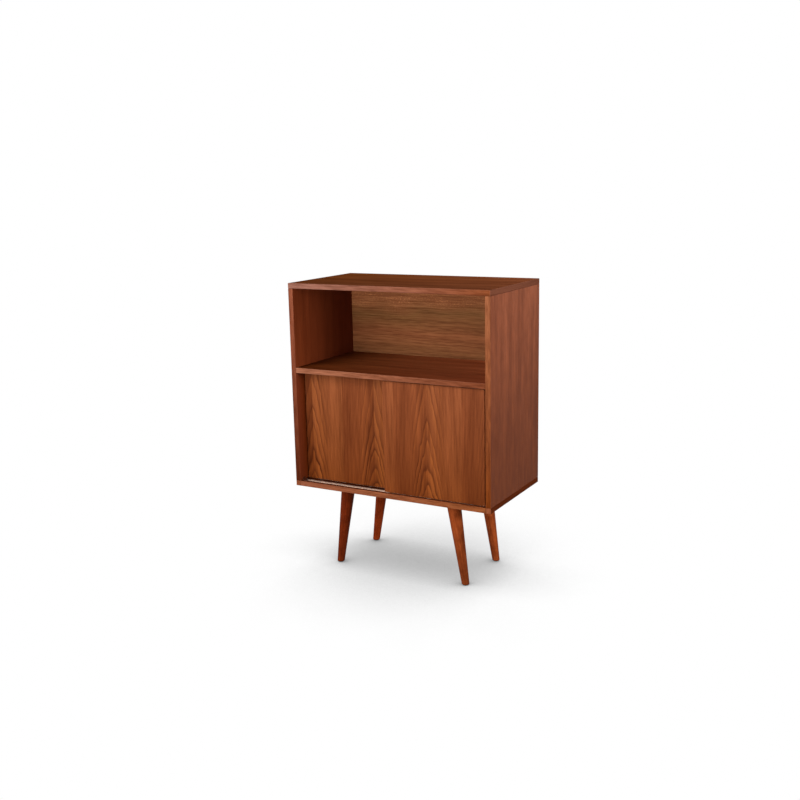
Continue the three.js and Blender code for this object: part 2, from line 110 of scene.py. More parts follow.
# Contrast of the grain on each kind of wood
LEVEL_CONTRAST = 1.5
LIPPING_CONTRAST = 1.6
SIDE_CONTRAST = 1.3
BACK_CONTRAST = 2.0
DOOR_CONTRAST = 1.5
TURNED_CONTRAST = 1.8

# Tones of dark and of light streaks, of open pores and of joints, as shares of the middle tone
DARK_STREAK = (0.66, 0.60, 0.56, 1)
LIGHT_STREAK = (1.34, 1.40, 1.44, 1)
PORE = (0.5, 0.44, 0.4, 1)
JOINT = (0.25, 0.2, 0.18, 1)

# Lacquers: shine and roughness
LEVEL_LACQUER = (0.0, 0.7)
SIDE_LACQUER = (0.04, 0.55)
SATIN_LACQUER = (0.04, 0.5)
TURNED_LACQUER = (0.03, 0.5)

# How uneven a lacquer is, how dull it is in pores, how high fine streaks stand in it, and the depth
# and strength of its relief
LACQUER_UNEVEN = 0.04
PORE_DULLNESS = 0.12
STREAK_HEIGHT = 0.35
LACQUER_RELIEF = (0.00006, 0.7)

# Level boards: seeds, and middle tones of their faces at the front left, front right, rear left and
# rear right, of their front edges left and right, and of their ends, and whether a board closes the
# body above or below. The corner tones of the top and the shelf are painted light: the top lighter
# towards its rear right, the shelf darker at its left and lighter deep at its right. The front edges of
# the top and the shelf are lighter at their left ends as a painted highlight
LEVEL_BOARDS = {
    "top_panel": {
        "seed": 1.3,
        "face": ((112, 59, 30), (128, 71, 44), (137, 73, 32), (147, 80, 48)),
        "front": ((148, 100, 84), (134, 71, 40)),
        "end": (113, 66, 48),
        "closing": True,
    },
    "middle_shelf": {
        "seed": 7.7,
        "face": ((98, 44, 14), (142, 69, 40), (110, 61, 28), (192, 106, 66)),
        "front": ((154, 96, 70), (122, 64, 39)),
        "end": (90, 42, 22),
        "closing": False,
    },
    "bottom_panel": {
        "seed": 4.1,
        "face": ((96, 46, 24),) * 4,
        "front": ((141, 82, 57), (142, 79, 43)),
        "end": (101, 45, 21),
        "closing": True,
    },
}

# Seed of the upright lippings on the bottom panel's front corners
CORNER_SEED = 4.9

# Sides: seed, the way that each faces, and the tones of its front edge low and high, darker low as
# painted shade
SIDES = {
    "left_side": {"seed": 11.2, "way": -1, "front": ((82, 32, 10), (138, 75, 51))},
    "right_side": {"seed": 15.9, "way": 1, "front": ((113, 51, 10), (152, 90, 57))},
}

# Middle tones of the sides' outer faces low and high, darker low as painted shade, and of the inner ones
# at the front and deep inside, darker deep inside as painted shade
OUTER_TONES = ((106, 50, 22), (131, 71, 46))
INNER_TONES = ((141, 62, 29), (112, 50, 26))

# Painted shade on the sides' inner faces: tone below the shelf, at the front edge and at the rear door,
# darker towards the door, and above the shelf, low and high, darker high, each as a share of the middle
# tone
PAINTED_SHADE_BELOW_SHELF = ((0.85, 0.95, 1.25, 1), (0.57, 0.53, 0.30, 1))
PAINTED_SHADE_ABOVE_SHELF = ((1.02, 1.1, 1.15, 1), (0.77, 0.82, 0.92, 1))

# Clouds on the sides' outer faces, with their darkest and lightest shares of the tone
SIDE_CLOUDS = Noise(48, 15, 3, 0.6)
SIDE_CLOUD_SHARES = ((0.9, 0.89, 0.88, 1), (1.1, 1.11, 1.12, 1))

# Tones of lighter edges, partly wear and partly a painted highlight, where they start and end, and how
# far they show on boards and on doors
LIGHT_EDGE = (150, 100, 80)
WARM_EDGE = (140, 78, 49)
WORN_AND_HIGHLIT_SPAN = (0.0003, 0.0020)
BOARD_WEAR_AND_HIGHLIGHT = 0.25
DOOR_WEAR_AND_HIGHLIGHT = 0.2

# A length past any edge
BEYOND = 1

# Joints between boards: half the width, the shares of it where the line is full and where it ends, and
# how far it shows on level boards and on the sides, and how dark the painted shade behind the front track
# is
JOINT_HALF = 0.0009
JOINT_SHARES = (0.6, 1.8)
LEVEL_JOINT = 0.6
SIDE_JOINT = 0.7
TRACK_SHADE_SHARE = 0.7

# Back: tones at shares of the niche's height, lighter towards the top as painted light, shares of them
# at the left and the right end, lighter left and darker right as painted light, and seed
BACK_TONES = (
    (0.05, (129, 81, 48)),
    (0.28, (142, 84, 51)),
    (0.54, (136, 90, 52)),
    (0.74, (168, 104, 65)),
)
BACK_END_PAINTED_LIGHT = ((1.08, 1.08, 1.08, 1), (0.9, 0.9, 0.9, 1))
BACK_SEED = 21.4

# Waves in the back: noise and seed, how far they move its grain, and how far its tones, in shares of
# the height
WAVE = Noise(5, 11, 3)
WAVE_SEED = 3.1
WAVE_REACH = 0.008
WAVE_SHIFT = 0.3

# Curl near the back's top: where it starts and ends in shares of the height, where a noise makes its
# flecks, how its patches go from faint to full, and the flecks' tone, a painted sheen, as a share and its
# strength
CURL = Noise(170, 260)
CURL_SEED = 8.8
CURL_START = (0.55, 0.72)
CURL_END = (0.94, 0.82)
FLECK_STEP = (0.52, 0.62)
CURL_PATCHES = Noise(9, 30)
CURL_PATCHES_SEED = 14.2
CURL_PATCH_SHARES = (0.35, 0.6, 0.25, 1.0)
FLECK_SHEEN_TONE = (1.7, 1.75, 1.8, 1)
FLECK_SHEEN_SHARE = 0.6

# Doors: seed, place of a joint where the figure peaks, and tones of the leaves left and right of it
DOORS = {
    "left_door": {"seed": 31.6, "peak": -0.077, "leaves": ((127, 65, 34), (133, 71, 38))},
    "right_door": {"seed": 47.8, "peak": 0.1445, "leaves": ((125, 64, 34), (138, 74, 41))},
}

# Book-matched leaves: the width of one, the step from pair to pair in the noise, how far the grain
# follows the growth lines, and the distances from a joint and the strengths between which it fades
LEAF = 0.125
PAIR_STEP = 3.3
GRAIN_FOLLOWS = 0.004
LEAF_JOINT = (0.0002, 0.0008, 0.35, 0.0)

# Slope of a growth line beside its peak, at the bottom and at the top of a door, and how it steepens
PEAK_SLOPES = (0.7, 4.2)
PEAK_BEND = 60

# How growth lines wobble alike in the leaves of a pair and stray in each, and how far
WOBBLE = Noise(16, 5, 3)
WOBBLE_REACH = 0.17
STRAY = Noise(60, 14)
STRAY_REACH = 0.04

# Broad lines to the metre, how they crowd towards a level below the door, the least height above that
# level that counts, and how unevenly the lines lie
FIGURE_LINES = 4
FIGURE_CROWDING = 2.1
FIGURE_FOOT = 0.22
LEAST_ABOVE_FOOT = 0.02
UNEVEN = Noise(6, 1, 1)
UNEVEN_REACH = 1.4

# Fine lines to the metre, and how they drift
FINE_LINES = 26
DRIFT = Noise(9, 1, 1)
DRIFT_SEED_STEP = 5
DRIFT_REACH = 3

# Darkness from one broad line to the next, brightness there, and darkness from one fine line to the
# next, as stops of place and value
BROAD_LINE = ((0, 0.9), (0.05, 1), (0.13, 0.8), (0.24, 0.35), (0.4, 0.08), (0.6, 0), (0.94, 0.1), (1, 0.9))
BRIGHT_BAND = ((0, 0), (0.3, 0.15), (0.55, 0.4), (0.82, 1), (0.93, 0.9), (1, 0))
FINE_LINE = ((0, 1), (0.2, 0.5), (0.5, 0), (0.8, 0.1), (1, 1))

# Strength of the figure: by distance from the peak joint, at the top and at the bottom of a door, in
# patches, of broad lines from faint to strong, and of fine lines low and high and by their drift
NEAR_PEAK = (0.025, 0.075, 1.0, 0.15)
FIGURE_HEIGHTS = (0.6, 1.1)
FIGURE_PATCHES = Noise(12, 5)
FIGURE_PATCH_SHARES = (0.32, 0.6, 0.5, 1.1)
FAINT = Noise(16, 3, 1)
FAINT_SEED_STEP = 9
BROAD_SHARES = (0.35, 0.6, 0.45, 1.0)
FINE_HEIGHTS = (0.2, 0.5)
FINE_DRIFT = (0.35, 0.6)

# Door tones as shares of the middle tone: at the bottom and at the top, darker at the bottom as painted
# shade, of bright bands and of dark lines, and how far the dark lines show
DOOR_HEIGHT_SHARES = ((0.77, 0.68, 0.45, 1), (1.03, 1.05, 1.12, 1))
BRIGHT_TONE = (1.34, 1.40, 1.2, 1)
LINE_TONE = (0.34, 0.27, 0.22, 1)
LINE_SHARE = 0.85

# Turned wood: where the tree's heart lies beside a piece and how far each seed moves it, how the growth
# rings wander and lie closer than a veneer's streaks, and patches with their shares of the tone
HEART = (0.07, 0.03)
HEART_STEP = 0.002
WANDER_SCALES = (20, 20, 3)
WANDER_REACH = 0.006
RING_CROWDING = 1.6
MOTTLE_SCALES = (40, 40, 26)
MOTTLE_DETAIL = 3
MOTTLE_ROUGHNESS = 0.6
MOTTLE_SHARES = ((0.78, 0.74, 0.7, 1), (1.22, 1.26, 1.3, 1))

# Turned pieces: seeds, and tones at the floor and at the bottom panel; the legs' tones are painted
# light, lighter or darker from leg to leg and lighter towards the top
DOWELS = {"seed": 2, "tones": ((188, 156, 108), (196, 164, 116))}
LEGS = {
    "front_left": {"seed": 3, "tones": ((100, 35, 9), (110, 39, 11))},
    "front_right": {"seed": 8, "tones": ((109, 48, 19), (152, 70, 31))},
    "rear_left": {"seed": 13, "tones": ((142, 53, 17), (148, 55, 19))},
    "rear_right": {"seed": 18, "tones": ((134, 60, 25), (172, 79, 35))},
}

# Metals: tones, least and greatest roughness, and depth and strength of the relief, and the noises of
# aluminium's lines and dull patches and of zinc's spangle
ALUMINIUM = {"tones": ((176, 158, 147), (200, 180, 167)), "rough": (0.30, 0.46), "relief": (0.00002, 0.5)}
ZINC = {"tones": ((150, 152, 150), (192, 194, 190)), "rough": (0.30, 0.50), "relief": (0.00003, 0.4)}
DRAWN_SCALES = (6, 2600, 2600)
DULL_SCALES = (30, 200, 200)
METAL_DETAIL = 3
SPANGLE = {"scale": 240, "detail": 4, "roughness": 0.6}

# Plastics: tones, roughness and shine, the noises of their grain and clouds, how uneven their roughness
# is, and the depth and strength of their relief
PLASTICS = {
    "dark_plastic": {"tones": ((22, 20, 19), (38, 35, 33)), "rough": 0.5, "shine": 0.5},
    "brown_plastic": {"tones": ((72, 34, 18), (86, 42, 24)), "rough": 0.6, "shine": 0.15},
    "nylon": {"tones": ((34, 29, 26), (50, 44, 40)), "rough": 0.42, "shine": 0.5},
}
LEATHERY = {"scale": 1400, "detail": 3}
PLASTIC_CLOUD = {"scale": 60, "detail": 2}
PLASTIC_UNEVEN = 0.06
PLASTIC_RELIEF = (0.00003, 0.6)

# Shape of the turned legs
LEG_SPLAY = 8.5
FOOT_RADIUS = 0.013
LEG_SEGMENTS = 64
LEG_RINGS = 24
FOOT_ROUND = 0.003
FOOT_STEPS = 6
HEAD_CHAMFER = 0.001


def linear(value):
    """One screen value as light."""
    share = value / SCREEN_WHITE
    if share <= SCREEN_THRESHOLD:
        return share / SCREEN_SLOPE
    return ((share + SCREEN_OFFSET) / (1 + SCREEN_OFFSET)) ** SCREEN_POWER


def paint(red, green, blue):
    """Screen colour as the shaders take it."""
    return (linear(red), linear(green), linear(blue), 1)


def paints(tones):
    return [paint(*tone) for tone in tones]


class Shader:
    """A node material in the making. Most methods add nodes and return an output."""

    # Sockets of a mix node that carry colours
    MIX_A = 6
    MIX_B = 7
    MIX_RESULT = 2

    def __init__(self, name):
        self.material = bpy.data.materials.new(name)
        self.material.use_nodes = True
        self.nodes = self.material.node_tree.nodes
        self.links = self.material.node_tree.links
        self.nodes.clear()

    def feed(self, socket, value):
        """Gives a socket a value or links an output to it."""
        if isinstance(value, bpy.types.NodeSocket):
            self.links.new(value, socket)
        else:
            socket.default_value = value

    def math(self, operation, *values):
        node = self.nodes.new("ShaderNodeMath")
        node.operation = operation
        for socket, value in zip(node.inputs, values):
            self.feed(socket, value)
        return node.outputs[0]

    def add(self, a, b):
        return self.math("ADD", a, b)

    def minus(self, a, b):
        return self.math("SUBTRACT", a, b)

    def times(self, a, b):
        return self.math("MULTIPLY", a, b)

    def size(self, a):
        """Value without its sign."""
        return self.math("ABSOLUTE", a)

    def over(self, a, b):
        """1 where a is greater than b, and 0 elsewhere."""
        return self.math("GREATER_THAN", a, b)

    def combine(self, x, y, z):
        node = self.nodes.new("ShaderNodeCombineXYZ")
        for socket, value in zip(node.inputs, (x, y, z)):
            self.feed(socket, value)
        return node.outputs[0]

    def separate(self, vector):
        node = self.nodes.new("ShaderNodeSeparateXYZ")
        self.feed(node.inputs[0], vector)
        return node.outputs[0], node.outputs[1], node.outputs[2]

    def place(self):
        """Place on the object, which doesn't change as a body moves."""
        return self.nodes.new("ShaderNodeTexCoord").outputs["Object"]

    def facing(self):
        """Components of the way that a face looks, on the object."""
        return self.separate(self.nodes.new("ShaderNodeTexCoord").outputs["Normal"])

    def noise(self, vector, scale=1.0, detail=2.0, roughness=0.5):
        node = self.nodes.new("ShaderNodeTexNoise")
        self.feed(node.inputs["Vector"], vector)
        for key, value in zip(("Scale", "Detail", "Roughness"), (scale, detail, roughness)):
            self.feed(node.inputs[key], value)
        return node.outputs["Fac"]

    def drawn_out(self, along, across, seed, noise):
        """Noise with its own number of features to the metre along and across."""
        vector = self.combine(self.times(along, noise.along), self.times(across, noise.across), seed)
        return self.noise(vector, detail=noise.detail, roughness=noise.roughness)

    def scaled(self, place, scales, detail=2.0, roughness=0.5):
        """Noise with its own number of features to the metre along each axis."""
        vector = self.combine(*(self.times(value, scale) for value, scale in zip(place, scales)))
        return self.noise(vector, detail=detail, roughness=roughness)

    def remap(self, value, low, high, to_low=0.0, to_high=1.0, smooth=False):
        """Value that goes from to_low to to_high as the given one goes from low to high."""
        node = self.nodes.new("ShaderNodeMapRange")
        node.interpolation_type = "SMOOTHSTEP" if smooth else "LINEAR"
        for socket, given in zip(node.inputs, (value, low, high, to_low, to_high)):
            self.feed(socket, given)
        return node.outputs[0]

    def mix(self, share, a, b, blend="MIX"):
        node = self.nodes.new("ShaderNodeMix")
        node.data_type = "RGBA"
        node.blend_type = blend
        self.feed(node.inputs[0], share)
        self.feed(node.inputs[self.MIX_A], a)
        self.feed(node.inputs[self.MIX_B], b)
        return node.outputs[self.MIX_RESULT]

    def product(self, a, b):
        """Colour a times colour b."""
        return self.mix(1.0, a, b, "MULTIPLY")

    def fade(self, value, low, high, low_colour, high_colour):
        """Colour that changes slowly as the value goes from low to high."""
        return self.mix(self.remap(value, low, high), low_colour, high_colour)

    def bands(self, value, stops):
        """Colour from value through stops of (position, colour)."""
        node = self.nodes.new("ShaderNodeValToRGB")
        self.feed(node.inputs[0], value)
        elements = node.color_ramp.elements
        while len(elements) < len(stops):
            elements.new(1)
        for element, (position, colour) in zip(elements, stops):
            element.position = position
            element.color = colour
        return node.outputs[0]

    def openness(self, reach):
        """Share of the sky that a place sees past whatever lies within reach."""
        node = self.nodes.new("ShaderNodeAmbientOcclusion")
        node.inputs["Distance"].default_value = reach
        return node.outputs["AO"]

    def bump(self, height, depth, strength):
        """Normal of a relief whose height runs from 0 to 1 over depth."""
        node = self.nodes.new("ShaderNodeBump")
        node.inputs["Strength"].default_value = strength
        node.inputs["Distance"].default_value = depth
        self.feed(node.inputs["Height"], height)
        return node.outputs["Normal"]

    def finish(self, **inputs):
        """Material of a principled shader with the given inputs, spaces in their names as underscores."""
        shader = self.nodes.new("ShaderNodeBsdfPrincipled")
        output = self.nodes.new("ShaderNodeOutputMaterial")
        for key, value in inputs.items():
            self.feed(shader.inputs[key.replace("_", " ")], value)
        self.links.new(shader.outputs[0], output.inputs["Surface"])
        return self.material


def edge_distance(s, low, high):
    """Distance from the nearest edge of a box, on any of its faces."""
    gaps = []
    for value, near, far in zip(s.separate(s.place()), low, high):
        from_middle = s.size(s.minus(value, (near + far) / 2))
        gaps.append(s.minus((far - near) / 2, from_middle))
    a, b, c = gaps
    lesser = s.math("MINIMUM", a, b)
    greater = s.math("MAXIMUM", a, b)
    return s.math("MAXIMUM", lesser, s.math("MINIMUM", greater, c))


def worn_and_highlit(s, colour, low, high, tone, wear_and_highlight):
    """Colour with lighter edges along those of a box, partly wear and partly a painted highlight."""
    share = s.remap(edge_distance(s, low, high), *WORN_AND_HIGHLIT_SPAN, wear_and_highlight, 0.0)
    return s.mix(share, colour, paint(*tone))


def lies_above(low, high):
    """Whether a board lies in the body's upper half."""
    body_middle = (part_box("bottom_panel")[0].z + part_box("top_panel")[1].z) / 2
    return (low.z + high.z) / 2 > body_middle


def free_edges(low, high, hidden_below=True, hidden_above=True):
    """Box drawn out past the edges that another board hides, so that they show no wear or painted
    highlight.
    """
    low, high = low.copy(), high.copy()
    if hidden_below:
        low.z -= BEYOND
    if hidden_above:
        high.z += BEYOND
    return low, high


def streaks(s, along, across, seed, grain=VENEER_GRAIN):
    """Grain: slow bands, fine streaks and open pores, each from 0 to 1."""
    bands, fine, pores = (s.drawn_out(along, across, seed + step, noise) for noise, step in grain)
    return bands, fine, s.remap(pores, *PORE_STEP, smooth=True)


def grained(s, middle, grain, contrast=1.0):
    """Middle tone, streaked darker and lighter by the grain."""
    bands, fine, pores = grain
    value = s.add(s.times(bands, BAND_SHARE), s.times(fine, 1 - BAND_SHARE))
    swing = GRAIN_SWING / contrast
    share = s.remap(value, 0.5 - swing, 0.5 + swing)
    colour = s.mix(share, s.product(middle, DARK_STREAK), s.product(middle, LIGHT_STREAK))
    return s.mix(s.times(pores, PORE_SHARE), colour, s.product(middle, PORE))


def lacquered(s, colour, grain, shine, roughness):
    """Lacquer over wood whose pores aren't quite filled."""
    fine, pores = grain[1:]
    even = s.remap(fine, *NOISE_RANGE, roughness - LACQUER_UNEVEN, roughness + LACQUER_UNEVEN)
    relief = s.minus(s.times(fine, STREAK_HEIGHT), pores)
    return s.finish(
        Base_Color=colour,
        Roughness=s.add(even, s.times(pores, PORE_DULLNESS)),
        Specular_IOR_Level=shine,
        Normal=s.bump(relief, *LACQUER_RELIEF),
    )


def joint_line(s, value, level):
    """1 on a joint at a level of value, and 0 away from it."""
    full, none = (JOINT_HALF * share for share in JOINT_SHARES)
    return s.remap(s.size(s.minus(value, level)), full, none, 1.0, 0.0, smooth=True)


def darkened(s, colour, place, share):
    """Colour as dark as a joint where place is 1, by a share."""
    return s.mix(s.times(place, share), colour, s.product(colour, JOINT))


def looks(s, component):
    """1 on the faces that look the way of a component of the facing, and 0 on the others."""
    return s.over(component, 0.5)


def spread(s, x, y, low, high, tones):
    """Tone of a level face between the tones at its four corners, which paint light and shade on it."""
    front_left, front_right, rear_left, rear_right = paints(tones)
    front = s.fade(x, low.x, high.x, front_left, front_right)
    rear = s.fade(x, low.x, high.x, rear_left, rear_right)
    return s.fade(y, low.y, high.y, front, rear)


def level_board(node):
    """Board with grain from side to side, lipped at its front edge and at its ends."""
    board = LEVEL_BOARDS[node]
    seed = board["seed"]
    s = Shader(node + "_veneer")
    x, y, z = s.separate(s.place())
    nx, ny, _ = s.facing()
    low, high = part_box(node)
    grain = streaks(s, x, s.add(y, z), seed)
    face = grained(s, spread(s, x, y, low, high, board["face"]), grain, LEVEL_CONTRAST)
    # On the top and the shelf, a front edge lighter at its left end is a painted highlight
    front = s.fade(x, low.x, high.x, *paints(board["front"]))
    edge = grained(s, front, streaks(s, x, z, seed, LIPPING_GRAIN), LIPPING_CONTRAST)
    end = grained(s, paint(*board["end"]), streaks(s, y, z, seed + END_SEED_STEP))
    colour = s.mix(looks(s, s.times(ny, -1)), face, edge)
    colour = s.mix(looks(s, s.size(nx)), colour, end)
    if board["closing"]:
        above = lies_above(low, high)
        low, high = free_edges(low, high, above, not above)
    return s, worn_and_highlit(s, colour, low, high, LIGHT_EDGE, BOARD_WEAR_AND_HIGHLIGHT), grain


def top_veneer():
    s, colour, grain = level_board("top_panel")
    return lacquered(s, colour, grain, *LEVEL_LACQUER)


def shelf_veneer():
    s, colour, grain = level_board("middle_shelf")
    x = s.separate(s.place())[0]
    joint = joint_line(s, s.size(x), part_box("right_side")[0].x)
    return lacquered(s, darkened(s, colour, joint, LEVEL_JOINT), grain, *LEVEL_LACQUER)


def bottom_veneer():
    """Bottom panel, whose front corners look like the sides' lippings, with painted shade behind the track.
    """
    s, colour, grain = level_board("bottom_panel")
    x, y, z = s.separate(s.place())
    _, ny, nz = s.facing()
    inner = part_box("right_side")[0].x
    in_front = looks(s, s.times(ny, -1))
    corner = s.times(s.over(s.size(x), inner), in_front)
    upright = grained(s, paint(*WARM_EDGE), streaks(s, z, x, CORNER_SEED, LIPPING_GRAIN))
    colour = s.mix(corner, colour, upright)
    joint = s.times(joint_line(s, s.size(x), inner), in_front)
    colour = darkened(s, colour, joint, LEVEL_JOINT)
    # Painted shade on the top face between the front track and the doors
    behind_track = s.over(y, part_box("front_track")[1].y)
    before_door = s.over(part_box("left_door")[0].y, y)
    painted_track_shade = s.times(looks(s, nz), s.times(behind_track, before_door))
    return lacquered(s, darkened(s, colour, painted_track_shade, TRACK_SHADE_SHARE), grain, *LEVEL_LACQUER)


def side_veneer(node, seed, way, front):
    """Upright board: upright grain, a lipped front edge and a warmer inner face, with painted shade on its
    faces and front edge.
    """
    s = Shader(node + "_veneer")
    x, y, z = s.separate(s.place())
    nx, ny, _ = s.facing()
    low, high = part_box(node)
    shelf_low, shelf_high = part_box("middle_shelf")
    grain = streaks(s, z, s.add(x, y), seed)
    clouds = s.drawn_out(s.add(x, y), z, seed, SIDE_CLOUDS)
    # Outer face darker low as painted shade
    outer = s.product(
        s.fade(z, low.z, high.z, *paints(OUTER_TONES)), s.fade(clouds, *CLOUD_RANGE, *SIDE_CLOUD_SHARES))
    # Painted shade on the inner face: darker towards the rear door below the shelf, high above it, and deep
    # inside
    below = s.fade(y, low.y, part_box("left_door")[0].y, *PAINTED_SHADE_BELOW_SHELF)
    above = s.fade(z, shelf_high.z, high.z, *PAINTED_SHADE_ABOVE_SHELF)
    inner = grained(s, s.fade(y, low.y, high.y, *paints(INNER_TONES)), grain)
    inner = s.product(inner, s.fade(z, shelf_low.z, shelf_high.z, below, above))
    # Front edge darker low as painted shade
    edge = s.fade(z, low.z, high.z, *paints(front))
    edge = grained(s, edge, streaks(s, z, x, seed, LIPPING_GRAIN), LIPPING_CONTRAST)
    colour = s.mix(looks(s, s.times(nx, -way)), grained(s, outer, grain, SIDE_CONTRAST), inner)
    colour = s.mix(looks(s, s.times(ny, -1)), colour, edge)
    colour = worn_and_highlit(s, colour, *free_edges(low, high), WARM_EDGE, BOARD_WEAR_AND_HIGHLIGHT)
    for level in (low.z, high.z):
        colour = darkened(s, colour, joint_line(s, z, level), SIDE_JOINT)
    return lacquered(s, colour, grain, *SIDE_LACQUER)


def back_flecks(s, x, z, across, height):
    """Share of the curl's flecks near the back's top, on its front face alone."""
    near_top = s.times(s.remap(height, *CURL_START, smooth=True), s.remap(height, *CURL_END, smooth=True))
    in_front = looks(s, s.times(s.facing()[1], -1))
    patchy = s.remap(s.drawn_out(x, z, CURL_PATCHES_SEED, CURL_PATCHES), *CURL_PATCH_SHARES)
    curl = s.remap(s.drawn_out(x, across, CURL_SEED, CURL), *FLECK_STEP, smooth=True)
    return s.times(curl, s.times(near_top, s.times(in_front, patchy)))


def back_veneer():
    """Thin back with wavy grain from side to side, painted light across it, and a curl near its top whose
    flecks carry a painted sheen.
    """
    s = Shader("back_panel_veneer")
    x, y, z = s.separate(s.place())
    low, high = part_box("back_panel")
    wave = s.drawn_out(x, z, WAVE_SEED, WAVE)
    across = s.add(s.add(y, z), s.times(wave, WAVE_REACH))
    grain = streaks(s, x, across, BACK_SEED, BACK_GRAIN)
    shift = s.times(s.minus(wave, 0.5), WAVE_SHIFT)
    height = s.add(s.remap(z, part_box("middle_shelf")[1].z, high.z), shift)
    # Painted light: tones lighter towards the top and at the left end
    middle = s.bands(height, [(share, paint(*tone)) for share, tone in BACK_TONES])
    middle = s.product(middle, s.fade(x, low.x, high.x, *BACK_END_PAINTED_LIGHT))
    colour = grained(s, middle, grain, BACK_CONTRAST)
    # Curl flecks brightened as a painted sheen
    flecks = s.times(back_flecks(s, x, z, across, height), FLECK_SHEEN_SHARE)
    colour = s.mix(flecks, colour, s.product(colour, FLECK_SHEEN_TONE))
    return lacquered(s, colour, grain, *SATIN_LACQUER)


def leaf_place(s, x, peak):
    """Pair of leaves, distance from its peak joint, and 1 on its right leaf."""
    turns = s.math("DIVIDE", s.minus(x, peak), 2 * LEAF)
    pair = s.math("FLOOR", s.add(turns, 0.5))
    swing = s.minus(turns, pair)
    return pair, s.times(s.size(swing), 2 * LEAF), s.over(swing, 0)


def growth_level(s, x, z, from_peak, own, low, high):
    """Level at which the growth line that passes here meets the peak joint."""
    slope = s.remap(z, low.z, high.z, *PEAK_SLOPES)
    fall = s.times(from_peak, s.add(slope, s.times(from_peak, PEAK_BEND)))
    wobble = s.times(s.minus(s.drawn_out(from_peak, z, own, WOBBLE), 0.5), WOBBLE_REACH)
    stray = s.times(s.minus(s.drawn_out(x, z, own, STRAY), 0.5), STRAY_REACH)
    return s.add(s.add(z, fall), s.add(wobble, stray))


def across_line(s, count, stops):
    """Value from one line to the next, where count is whole on each line."""
    return s.bands(s.math("FRACT", count), [(place, (value, value, value, 1)) for place, value in stops])


def growth_lines(s, z, level, right_leaf, own, low, high):
    """Darkness of broad lines, unevenly apart, with fine lines between them, and brightness beside them."""
    above_foot = s.math("MAXIMUM", s.minus(level, FIGURE_FOOT), LEAST_ABOVE_FOOT)
    crowding = s.times(s.math("LOGARITHM", above_foot, e), FIGURE_CROWDING)
    uneven = s.times(s.drawn_out(level, 0, own, UNEVEN), UNEVEN_REACH)
    count = s.add(s.add(s.times(level, FIGURE_LINES), crowding), uneven)
    faint = s.drawn_out(level, right_leaf, s.add(own, FAINT_SEED_STEP), FAINT)
    broad = s.times(across_line(s, count, BROAD_LINE), s.remap(faint, *BROAD_SHARES))
    drift = s.drawn_out(level, 0, s.add(own, DRIFT_SEED_STEP), DRIFT)
    fine_count = s.add(s.times(level, FINE_LINES), s.times(drift, DRIFT_REACH))
    fine_share = s.times(s.remap(z, low.z, high.z, *FINE_HEIGHTS), s.remap(drift, *FINE_DRIFT))
    fine = s.times(across_line(s, fine_count, FINE_LINE), fine_share)
    return s.math("MAXIMUM", broad, fine), across_line(s, count, BRIGHT_BAND)


def door_veneer(node, seed, peak, leaves):
    """Book-matched leaves whose growth lines rise to peaks at every second joint."""
    s = Shader(node + "_veneer")
    x, y, z = s.separate(s.place())
    low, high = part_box(node)
    pair, from_peak, right_leaf = leaf_place(s, x, peak)
    own = s.add(s.times(pair, PAIR_STEP), seed)
    level = growth_level(s, x, z, from_peak, own, low, high)
    dark, bright = growth_lines(s, z, level, right_leaf, own, low, high)

    # How strong the figure is here
    near = s.remap(from_peak, *NEAR_PEAK, smooth=True)
    lower = s.remap(z, high.z, low.z, *FIGURE_HEIGHTS)
    patches = s.remap(s.drawn_out(x, z, own, FIGURE_PATCHES), *FIGURE_PATCH_SHARES)

    across = s.add(s.add(from_peak, right_leaf), s.times(level, GRAIN_FOLLOWS))
    grain = streaks(s, z, across, seed)
    middle = s.mix(right_leaf, *paints(leaves))
    # Painted shade: darker towards the bottom of the door
    middle = s.product(middle, s.fade(z, low.z, high.z, *DOOR_HEIGHT_SHARES))
    colour = grained(s, middle, grain, DOOR_CONTRAST)
    colour = s.mix(s.times(bright, s.times(near, lower)), colour, s.product(colour, BRIGHT_TONE))
    figure = s.times(s.times(dark, near), s.times(lower, patches))
    colour = s.mix(s.times(figure, LINE_SHARE), colour, s.product(middle, LINE_TONE))
    joint = s.remap(s.size(s.minus(from_peak, LEAF)), *LEAF_JOINT)
    colour = s.mix(joint, colour, s.product(colour, PORE))
    return lacquered(s, worn_and_highlit(s, colour, low, high, WARM_EDGE, DOOR_WEAR_AND_HIGHLIGHT), grain, *SATIN_LACQUER)


def turned_wood(name, seed, tones, foot=(0, 0, 0), lean=0):
    """Solid wood whose growth rings run along an axis through foot that leans in X."""
    s = Shader(name)
    x, y, z = s.separate(s.place())
    x = s.minus(s.add(x, -foot[0]), s.times(s.add(z, -foot[2]), lean))
    y = s.add(y, -foot[1])
    from_heart = s.math("SQRT", s.add(
        s.math("POWER", s.add(x, HEART[0] + HEART_STEP * seed), 2),
        s.math("POWER", s.add(y, HEART[1]), 2)))
    wander = s.times(s.scaled((x, y, z), WANDER_SCALES), WANDER_REACH)
    grain = streaks(s, z, s.times(s.add(from_heart, wander), RING_CROWDING), seed)
    patches = s.scaled((x, y, z), MOTTLE_SCALES, MOTTLE_DETAIL, MOTTLE_ROUGHNESS)
    # On the legs, this fade and their tones are painted light
    middle = s.fade(z, 0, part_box("bottom_panel")[0].z, *paints(tones))
    middle = s.product(middle, s.fade(patches, *CLOUD_RANGE, *MOTTLE_SHARES))
    return lacquered(s, grained(s, middle, grain, TURNED_CONTRAST), grain, *TURNED_LACQUER)


def metal(s, clouds, height, tones, rough, relief):
    """Bare metal whose clouds change its tone and whose height changes its roughness."""
    return s.finish(
        Base_Color=s.mix(clouds, *paints(tones)),
        Metallic=1.0,
        Roughness=s.remap(height, *NOISE_RANGE, *rough),
        Normal=s.bump(height, *relief),
    )


